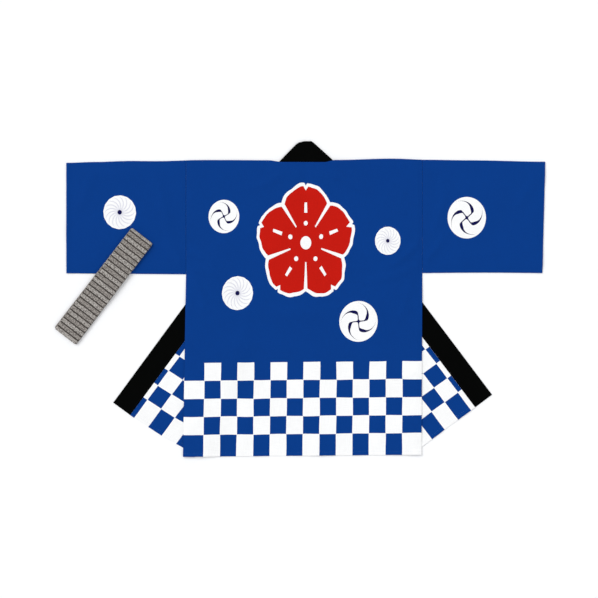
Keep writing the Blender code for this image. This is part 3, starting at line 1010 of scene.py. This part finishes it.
class Number:
    """A value inside a node tree, so that sums between nodes are written as sums."""

    def __init__(self, tree, socket):
        self.tree = tree
        self.socket = socket

    def named(self, operation, *others):
        """What one of the Math node's operations makes of this value and the others."""
        node = self.tree.nodes.new("ShaderNodeMath")
        node.operation = operation
        for slot, value in zip(node.inputs, (self, *others)):
            feed(self.tree, slot, value)
        return Number(self.tree, node.outputs[0])

    def __add__(self, other):
        return self.named("ADD", other)

    def __sub__(self, other):
        return self.named("SUBTRACT", other)

    def __mul__(self, other):
        return self.named("MULTIPLY", other)

    def __truediv__(self, other):
        return self.named("DIVIDE", other)

    def below(self, other):
        return self.named("LESS_THAN", other)

    def above(self, other):
        return self.named("GREATER_THAN", other)

    def least(self, other):
        return self.named("MINIMUM", other)

    def most(self, other):
        return self.named("MAXIMUM", other)

    def size(self):
        return self.named("ABSOLUTE")

    def inverted(self):
        return self.named("MULTIPLY_ADD", -1.0, 1.0)

    def soft(self, start, end):
        """0 up to start, 1 past end, eased between."""
        node = self.tree.nodes.new("ShaderNodeMapRange")
        node.interpolation_type = "SMOOTHSTEP"
        for name, value in (("Value", self), ("From Min", start), ("From Max", end)):
            feed(self.tree, node.inputs[name], value)
        return Number(self.tree, node.outputs["Result"])


def split(tree, vector):
    node = tree.nodes.new("ShaderNodeSeparateXYZ")
    feed(tree, node.inputs[0], vector)
    return [Number(tree, output) for output in node.outputs]


def joined(tree, x, y, z=0.0):
    node = tree.nodes.new("ShaderNodeCombineXYZ")
    for slot, value in zip(node.inputs, (x, y, z)):
        feed(tree, slot, value)
    return node.outputs[0]


def noise(tree, vector, scale, detail=2.0):
    node = tree.nodes.new("ShaderNodeTexNoise")
    node.inputs["Scale"].default_value = scale
    node.inputs["Detail"].default_value = detail
    feed(tree, node.inputs["Vector"], vector)
    return Number(tree, node.outputs["Fac"])


def mixed(tree, share, first, second):
    """Colour first where share is 0 and second where it is 1."""
    node = tree.nodes.new("ShaderNodeMix")
    node.data_type = "RGBA"
    colour_inputs = [s for s in node.inputs if s.type == "RGBA"]
    factor = next(s for s in node.inputs if s.type == "VALUE")
    for slot, value in zip((factor, *colour_inputs), (share, first, second)):
        feed(tree, slot, value)
    return next(s for s in node.outputs if s.type == "RGBA")


def numbers_of(tree, node):
    """A node's outputs by name, as values."""
    return {socket.name: Number(tree, socket) for socket in node.outputs}


def new_group(name, inputs, outputs):
    """A shader node group, what it is given by name, and the sockets it puts out.

    inputs are (name, kind, value) and outputs (name, kind).
    """
    tree = bpy.data.node_groups.new(name, "ShaderNodeTree")
    kinds = {"number": "NodeSocketFloat", "vector": "NodeSocketVector"}
    for label, kind, value in inputs:
        made = tree.interface.new_socket(label, in_out="INPUT", socket_type=kinds[kind])
        if value is not None:
            made.default_value = value
    for label, kind in outputs:
        tree.interface.new_socket(label, in_out="OUTPUT", socket_type=kinds[kind])
    given = numbers_of(tree, tree.nodes.new("NodeGroupInput"))
    return tree, given, tree.nodes.new("NodeGroupOutput").inputs


def placed_group(tree, group, **values):
    """The group as a node of tree, its named inputs set or linked."""
    node = tree.nodes.new("ShaderNodeGroup")
    node.node_tree = group
    for label, value in values.items():
        feed(tree, node.inputs[label.replace("_", " ")], value)
    return numbers_of(tree, node)


CHECK_ROWS = 5
CHECK_WANDER = 3.6 * MM  # how far the printed edges wander, end to end
CHECK_OVERLAP = 0.4 * MM  # white squares reach this far past their edges, so corners join


def check_hem_group():
    """Rows of white and blue squares above the hem. White is 1 on a white square."""
    tree, given, out = new_group(
        "check hem",
        [
            ("Pattern", "vector", None),
            ("First Column", "number", 0.05),
            ("Column", "number", 0.044),
            ("Last Column", "number", 13.0),
            ("Hem Row", "number", 0.058),
            ("Row", "number", 0.048),
            ("Phase", "number", 0.0),
        ],
        [("White", "number")],
    )
    wander_x = noise(tree, given["Pattern"], 11.0, 1.0)
    apart = tree.nodes.new("ShaderNodeVectorMath")
    apart.operation = "ADD"
    apart.inputs[1].default_value = (3.7, 1.9, 0.0)
    feed(tree, apart.inputs[0], given["Pattern"])
    wander_y = noise(tree, apart.outputs[0], 13.0, 1.0)
    u, v, _ = split(tree, given["Pattern"])
    u = u + (wander_x - 0.5) * CHECK_WANDER
    v = v + (wander_y - 0.5) * CHECK_WANDER
    column_width, row_height, last = given["Column"], given["Row"], given["Last Column"]
    across = (u - given["First Column"]) / column_width
    column = (across.named("FLOOR") + 1.0).most(0.0).least(last)
    up = (v - given["Hem Row"]) / row_height
    row = (up.named("FLOOR") + 1.0).most(0.0)
    odd = (column + row + given["Phase"]).named("MODULO", 2.0)
    near_column = across.named("ROUND").most(0.0).least(last - 1.0)
    near_row = up.named("ROUND").most(0.0).least(CHECK_ROWS - 2.0)
    off_column = (across - near_column).size() * column_width
    off_row = (up - near_row).size() * row_height
    on_edges = off_column.least(off_row).below(CHECK_OVERLAP)
    in_rows = row.below(CHECK_ROWS - 0.5)
    feed(tree, out["White"], odd.most(on_edges) * in_rows)
    return tree


def polar(tree, given):
    """Distance from the motif's centre in radii, and the angle in turns, after its own turn."""
    u, v, _ = split(tree, given["Pattern"])
    x = (u - given["Centre X"]) / given["Radius"]
    y = (v - given["Centre Y"]) / (given["Radius"] * given["Tall"])
    r = (x * x + y * y).named("SQRT")
    turns = y.named("ARCTAN2", x) / (2 * math.pi) + given["Turn"]
    return r, turns


DISC_INPUTS = [
    ("Pattern", "vector", None),
    ("Centre X", "number", 0.0),
    ("Centre Y", "number", 0.0),
    ("Radius", "number", 0.04),
    ("Tall", "number", 1.07),
    ("Turn", "number", 0.0),
]


def off_nearest(turns, count, r):
    """Distance, in radii, from the nearest of count lines that run out from the centre."""
    return ((turns * count).named("FRACT") - 0.5).size() / count * (2 * math.pi) * r


def pinwheel_group():
    """A round flower of thin curved spokes. Disc, Line and Eye are masks."""
    tree, given, out = new_group(
        "pinwheel disc",
        DISC_INPUTS + [("Spokes", "number", 16.0)],
        [("Disc", "number"), ("Line", "number"), ("Eye", "number")],
    )
    r, turns = polar(tree, given)
    swirled = turns - r * r * 0.125
    off_spoke = ((swirled * given["Spokes"]).named("FRACT") - 0.5).size()
    notched_rim = off_spoke * 0.03 + 0.98
    along_arc = off_spoke / given["Spokes"] * (2 * math.pi) * r
    line = along_arc.soft(0.012, 0.060).inverted() * r.soft(0.16, 0.36) * r.soft(0.80, 0.98).inverted()
    halo = r.soft(0.10, 0.42).inverted() * 0.42
    feed(tree, out["Disc"], r.below(notched_rim))
    feed(tree, out["Line"], (line * 0.36).most(halo))
    feed(tree, out["Eye"], r.below(0.135))
    return tree


def whirl_group():
    """A disc of four round blades parted by curved slits. Disc and Slit are masks."""
    outputs = [("Disc", "number"), ("Slit", "number")]
    tree, given, out = new_group("whirl disc", DISC_INPUTS, outputs)
    r, turns = polar(tree, given)
    past_hub = (r - 0.24).most(0.0)
    bent = turns - past_hub * 0.10 - past_hub * past_hub * 0.36
    half_width = r.soft(0.44, 0.99).inverted() * 0.125 * r.soft(0.24, 0.52)
    slit = off_nearest(bent, 4.0, r).below(half_width)
    off_stem = off_nearest(turns, 4.0, r)
    stem = off_stem.below(0.026) * r.below(0.34)
    hub = (off_stem + r * 0.6).below(0.095)
    feed(tree, out["Disc"], r.below(1.0))
    feed(tree, out["Slit"], slit.most(stem).most(hub))
    return tree


def blossom_group():
    """A bold brushed blossom of five broad petals, outlined in white. Both outputs are masks."""
    outputs = [("Shape", "number"), ("Red", "number")]
    tree, given, out = new_group("blossom", DISC_INPUTS, outputs)
    wander = noise(tree, given["Pattern"], 22.0, 1.5)
    r, turns = polar(tree, given)
    r = r * ((wander - 0.5) * 0.12 + 1.0)
    petal_turn = ((turns * 5.0).named("FRACT") - 0.5) / 5.0 * (2 * math.pi)
    out_along, aside = r * petal_turn.named("COSINE"), r * petal_turn.named("SINE")
    off_middle = aside.size()
    long_way, wide_way = (out_along - 0.56) / 0.42, aside / 0.46
    petal = ((long_way * long_way + wide_way * wide_way).named("SQRT") - 1.0) * 0.42
    notch = (out_along - 0.90) * 0.62 - off_middle
    body = petal.most(notch).least(r - 0.52)
    half_petal = math.pi / 5.0
    off_border = (petal_turn.size() - half_petal).size() * r
    parting = off_border.below(r * 0.05 - 0.004) * r.above(0.34)
    dash = off_middle.below(out_along * -0.035 + 0.050) * out_along.above(0.52) * out_along.below(0.70)
    bead = ((out_along - 0.34) * (out_along - 0.34) + aside * aside).named("SQRT").below(0.042)
    heart = r.below(0.115)
    cuts = parting.most(dash).most(bead).most(heart)
    feed(tree, out["Shape"], body.below(0.058))
    feed(tree, out["Red"], body.below(0.0) * cuts.inverted())
    return tree


PRINT_YARN = 0.7 * MM
COLLAR_YARN = 0.9 * MM


def weave_group():
    """Plain-woven cotton: crossing threads, thick and thin places, and a little unevenness; its colour
    factor also carries painted shade, lighter on the raised thread crossings and darker between them.
    """
    tree, given, out = new_group(
        "cotton weave",
        [("Pattern", "vector", None), ("Thread", "number", PRINT_YARN), ("Slub", "number", 1.0)],
        [("Height", "number"), ("Tone_And_Thread_Shade", "number")],
    )
    u, v, _ = split(tree, given["Pattern"])
    across = (u / given["Thread"] * math.pi).named("SINE")
    along = (v / given["Thread"] * math.pi).named("SINE")
    crossing = across * along
    weft = noise(tree, joined(tree, u * 38.0, v * 900.0), 1.0, 2.0)
    warp = noise(tree, joined(tree, u * 900.0, v * 38.0, 5.0), 1.0, 2.0)
    slubs = (weft + warp - 1.0) * given["Slub"]
    cloud = noise(tree, given["Pattern"], 7.0, 3.0)
    crumple = noise(tree, given["Pattern"], 46.0, 1.5)
    feed(tree, out["Height"], crossing * 0.40 + slubs * 1.1 + crumple * 2.6)
    # crossing in the colour factor is painted shade and highlight that follows the bump; slubs and
    # cloud are the yarn's own unevenness
    feed(tree, out["Tone_And_Thread_Shade"], slubs * 0.16 + (cloud - 0.5) * 0.10 + crossing * 0.05 + 1.0)
    return tree


CHECK_HEM = check_hem_group()
PINWHEEL = pinwheel_group()
WHIRL = whirl_group()
BLOSSOM = blossom_group()
WEAVE = weave_group()


def new_material(name, roughness, sheen, specular):
    made = bpy.data.materials.new(name)
    made.use_nodes = True
    shader = made.node_tree.nodes["Principled BSDF"]
    shader.inputs["Roughness"].default_value = roughness
    shader.inputs["Specular IOR Level"].default_value = specular
    shader.inputs["Sheen Weight"].default_value = sheen
    shader.inputs["Sheen Roughness"].default_value = 0.5
    return made, made.node_tree, shader


def pattern_socket(tree):
    node = tree.nodes.new("ShaderNodeUVMap")
    node.uv_map = "Pattern"
    return node.outputs[0]


def toned(tree, colour, tone_and_thread_shade):
    """A colour made lighter or darker by a factor: on the cotton the yarn's unevenness with painted
    thread shade, on the belt painted thread shade alone.
    """
    node = tree.nodes.new("ShaderNodeVectorMath")
    node.operation = "SCALE"
    feed(tree, node.inputs[0], colour)
    feed(tree, node.inputs["Scale"], tone_and_thread_shade)
    return node.outputs[0]


def bumped(tree, shader, height, depth, strength):
    node = tree.nodes.new("ShaderNodeBump")
    for name, value in (("Distance", depth), ("Strength", strength), ("Height", height)):
        feed(tree, node.inputs[name], value)
    feed(tree, shader.inputs["Normal"], node.outputs[0])


# a disc's centre and radius, its height over its width, and its turn in whole turns
Disc = namedtuple("Disc", "kind x y radius tall turn")
BACK_DISCS = (
    Disc("whirl", -0.2124, -0.1478, 0.0413, 1.078, 0.05),
    Disc("pinwheel", -0.1761, -0.3527, 0.0420, 1.083, 0.00),
    Disc("pinwheel", 0.2255, -0.2127, 0.0347, 1.096, 0.02),
    Disc("whirl", 0.1472, -0.4281, 0.0514, 1.060, 0.11),
    Disc("blossom", 0.0064, -0.2180, 0.1290, 1.195, -0.15),
)
SLEEVE_DISCS = {
    "left": (Disc("pinwheel", -0.4909, -0.1365, 0.0438, 1.037, 0.01),),
    "right": (Disc("whirl", 0.4366, -0.1510, 0.0512, 1.084, 0.02),),
}
BACK_CHECKS = dict(First_Column=0.0540, Column=0.04419, Last_Column=13.0, Hem_Row=0.0582, Row=0.0481)
FRONT_CHECKS = dict(First_Column=0.0128, Column=0.0438, Last_Column=7.0, Hem_Row=0.0595, Row=0.0481)


def add_disc(tree, pattern, colour, disc, centre):
    """Prints one motif over the colour so far."""
    groups = {"whirl": WHIRL, "pinwheel": PINWHEEL, "blossom": BLOSSOM}
    values = {"Pattern": pattern, "Centre_X": centre[0], "Centre_Y": centre[1]}
    values.update(Radius=disc.radius, Tall=disc.tall, Turn=disc.turn)
    masks = placed_group(tree, groups[disc.kind], **values)
    if disc.kind == "whirl":
        colour = mixed(tree, masks["Disc"], colour, BARE_COTTON)
        return mixed(tree, masks["Slit"] * masks["Disc"], colour, DYE_NAVY)
    if disc.kind == "pinwheel":
        colour = mixed(tree, masks["Disc"], colour, BARE_COTTON)
        colour = mixed(tree, masks["Line"] * masks["Disc"], colour, DYE_LILAC)
        return mixed(tree, masks["Eye"], colour, DYE_NAVY)
    colour = mixed(tree, masks["Shape"], colour, BARE_COTTON)
    return mixed(tree, masks["Red"], colour, DYE_RED)


def printed_cotton(name, discs=(), place=None, checks=None):
    """Blue cotton with its white and red print; paler and more uneven on the wrong side.

    place turns a disc's place on the coat into its place on the pattern.
    """
    made, tree, shader = new_material(name, roughness=0.86, sheen=0.02, specular=0.06)
    pattern = pattern_socket(tree)
    colour = DYE_BLUE
    if checks:
        white = placed_group(tree, CHECK_HEM, Pattern=pattern, **checks)["White"]
        colour = mixed(tree, white, colour, BARE_COTTON)
    for disc in discs:
        colour = add_disc(tree, pattern, colour, disc, place(disc.x, disc.y))
    weave = placed_group(tree, WEAVE, Pattern=pattern, Thread=PRINT_YARN)
    tone_and_thread_shade = weave["Tone_And_Thread_Shade"]
    wrong = tree.nodes.new("ShaderNodeAttribute")
    wrong.attribute_name = "wrong_side"
    wrong_side = Number(tree, wrong.outputs["Fac"])
    paler = mixed(tree, wrong_side * 0.38, colour, WRONG_SIDE_PALE)
    # the yarn's unevenness with painted shade of the thread crossings, stronger on the wrong side
    colour = toned(tree, paler, (tone_and_thread_shade - 1.0) * (wrong_side + 1.0) * 0.9 + 1.0)
    feed(tree, shader.inputs["Base Color"], colour)
    feed(tree, shader.inputs["Roughness"], (tone_and_thread_shade - 1.0) * 0.3 + 0.86)
    bumped(tree, shader, weave["Height"], 0.16 * MM, 0.8)
    return made


def black_cotton():
    made, tree, shader = new_material("collar_black_cotton", roughness=0.8, sheen=0.004, specular=0.02)
    pattern = pattern_socket(tree)
    weave = placed_group(tree, WEAVE, Pattern=pattern, Thread=COLLAR_YARN, Slub=1.3)
    tone_and_thread_shade = weave["Tone_And_Thread_Shade"]
    # the two blacks are chosen by the yarn's unevenness and by painted shade of the thread crossings
    feed(tree, shader.inputs["Base Color"], mixed(tree, (tone_and_thread_shade - 0.88) * 4.0, *COLLAR_BLACK))
    feed(tree, shader.inputs["Roughness"], (tone_and_thread_shade - 1.0) * 0.5 + 0.8)
    bumped(tree, shader, weave["Height"], 0.18 * MM, 0.8)
    return made


def sewing_thread(name, shades):
    """Twisted thread, slightly uneven."""
    made, tree, shader = new_material(name, roughness=0.7, sheen=0.02, specular=0.1)
    place = tree.nodes.new("ShaderNodeTexCoord").outputs["Object"]
    twist = noise(tree, place, 900.0, 2.0)
    feed(tree, shader.inputs["Base Color"], mixed(tree, twist.soft(0.35, 0.65), *shades))
    bumped(tree, shader, twist, 0.05 * MM, 0.5)
    return made


RIBBON_WANDER = 2.4 * MM
RIBBON_WARP, RIBBON_WEFT = 1.1 * MM, 1.6 * MM


def belt_webbing():
    """Ribbed ribbon: dark lines between bands that are light and darker by turns, all speckled."""
    made, tree, shader = new_material("belt_webbing", roughness=0.78, sheen=0.02, specular=0.1)
    pattern = pattern_socket(tree)
    u, v, _ = split(tree, pattern)
    wave = noise(tree, joined(tree, u * 24.0, v * 8.0), 1.0, 2.0)
    along = (v + (wave - 0.5) * RIBBON_WANDER) / BELT_RIB
    off_line = (along - along.named("ROUND")).size() * BELT_RIB
    line = off_line.soft(BELT_LINE / 2 - 0.5 * MM, BELT_LINE / 2 + 0.6 * MM).inverted()
    light_band = along.named("FLOOR").named("MODULO", 2.0).size()
    flecks = noise(tree, joined(tree, u * 620.0, v * 900.0), 1.0, 2.0)
    patches = noise(tree, joined(tree, u * 230.0, v * 330.0), 1.0, 2.0)
    speck = (flecks * 0.4 + patches * 0.6).soft(0.42, 0.58)
    thread = (u / RIBBON_WARP * math.pi).named("SINE")
    cord = (v / RIBBON_WEFT * math.pi).named("SINE")
    light = mixed(tree, speck, *RIBBON_LIGHT)
    dark = mixed(tree, speck, *RIBBON_DARK)
    band = mixed(tree, light_band, dark, light)
    # painted shade and highlight of the ribbon's weave: lighter where warp and weft rise together, as
    # in the bump
    band = toned(tree, band, thread * cord * 0.10 + 1.0)
    feed(tree, shader.inputs["Base Color"], mixed(tree, line * 0.95, band, RIBBON_LINE))
    height = thread * cord * 0.4 + speck * 0.6 - line * 1.2
    bumped(tree, shader, height, 0.25 * MM, 0.8)
    return made


# ======================================================================================
# The scene
# ======================================================================================
def dress(piece, material, node):
    """Gives a piece its material and its body, and hides the model's part that it stands for."""
    piece.data.materials.append(material)
    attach(piece, "root")
    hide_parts(node)


def place_on_back(x, y):
    u, v = back_print(np.array([x]), np.array([y]))[0]
    return float(u), float(v)


def sew(piece, lines, thread, material, tree):
    """Stitches of a piece, moving with it."""
    made = stitched(piece.name.replace("_cloth", "_stitches"), lines, thread, material, tree)
    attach(made, "root")
    return made


def make_coat():
    tree = stitch_tree()
    pale_thread = sewing_thread("pale_blue_thread", HEM_PALE_BLUE)
    blue_thread = sewing_thread("blue_thread", CUFF_BLUE)
    black_thread = sewing_thread("black_thread", COLLAR_SEWING)

    back, lines = make_back()
    material = printed_cotton("back_print", BACK_DISCS, place_on_back, BACK_CHECKS)
    dress(back, material, "back")
    hem = sew(back, lines, HEM_THREAD, pale_thread, tree)
    for side in (LEFT, RIGHT):
        front, lines = make_front(side)
        checks = dict(FRONT_CHECKS, Phase=0.0 if side is LEFT else 1.0)
        material = printed_cotton(f"front_{side.name}_print", checks=checks)
        dress(front, material, f"front_{side.name}")
        hem = sew(front, lines, HEM_THREAD, pale_thread, tree)

        sleeve, lines = make_sleeve(side)
        discs = SLEEVE_DISCS[side.name]
        material = printed_cotton(f"sleeve_{side.name}_print", discs, lambda x, y: (x, y))
        dress(sleeve, material, f"sleeve_{side.name}")
        cuff = sew(sleeve, lines, HEM_THREAD, blue_thread, tree)

    collar_finish = black_cotton()
    for side in (LEFT, RIGHT):
        band, lines = make_collar_band(side)
        dress(band, collar_finish, f"collar_{side.name}")
        topstitch = sew(band, lines, COLLAR_THREAD, black_thread, tree)
    neck, lines = make_collar_neck()
    dress(neck, collar_finish, "collar_neck")
    topstitch = sew(neck, lines, COLLAR_THREAD, black_thread, tree)


def make_belt_piece():
    belt, length = make_belt()
    dress(belt, belt_webbing(), "belt")


FLOOR_HALF = 30.0
FLOOR_DROP = 0.2 * MM  # keeps the floor clear of the cloth's underside


def make_stage():
    """A wide pale floor."""
    mesh = bpy.data.meshes.new("floor")
    corners = [(x * FLOOR_HALF, y * FLOOR_HALF, 0) for x, y in ((-1, -1), (1, -1), (1, 1), (-1, 1))]
    mesh.from_pydata(corners, [], [(0, 1, 2, 3)])
    floor = bpy.data.objects.new("floor", mesh)
    floor.location.z = -FLOOR_DROP
    bpy.context.scene.collection.objects.link(floor)
    made, tree, shader = new_material("pale_floor", roughness=0.9, sheen=0.0, specular=0.1)
    shader.inputs["Base Color"].default_value = (0.93, 0.93, 0.93, 1.0)
    floor.data.materials.append(made)


def make_studio_dome():
    """White all round near the floor, greyer overhead."""
    world = bpy.data.worlds.new("studio")
    bpy.context.scene.world = world
    world.use_nodes = True
    tree = world.node_tree
    facing = tree.nodes.new("ShaderNodeTexCoord").outputs["Generated"]
    upward = split(tree, facing)[2].soft(0.05, 0.55)
    colour = mixed(tree, upward, (1.0, 1.0, 1.0, 1.0), (0.50, 0.51, 0.53, 1.0))
    tree.links.new(colour, tree.nodes["Background"].inputs["Color"])


def make_lights():
    """A broad soft light from the upper left and a weaker one from the lower right."""
    make_studio_dome()
    for name, aim_from, spread_deg, strength in (
        ("key", (-1.4, 1.2, 1.95), 40, 1.75),
        ("fill", (1.6, -1.2, 2.6), 50, 0.55),
    ):
        light = bpy.data.lights.new(name, "SUN")
        light.angle = math.radians(spread_deg)
        light.energy = strength
        lamp = bpy.data.objects.new(name, light)
        lamp.location = aim_from
        lamp.rotation_euler = (-Vector(aim_from)).to_track_quat("-Z", "Y").to_euler()
        bpy.context.scene.collection.objects.link(lamp)


def make_camera():
    """Straight above the coat, far enough off to be nearly free of perspective."""
    width, lens, sensor, coat_top = 1.598, 85.0, 36.0, 0.003
    camera = bpy.data.cameras.new("camera")
    camera.lens = lens
    camera.sensor_width = sensor
    holder = bpy.data.objects.new("camera", camera)
    holder.location = (-0.0037, 0.0004, width * lens / sensor + coat_top)
    bpy.context.scene.collection.objects.link(holder)
    bpy.context.scene.camera = holder
    bpy.context.scene.view_settings.view_transform = "Standard"


make_camera()
make_coat()
make_belt_piece()
make_stage()
make_lights()
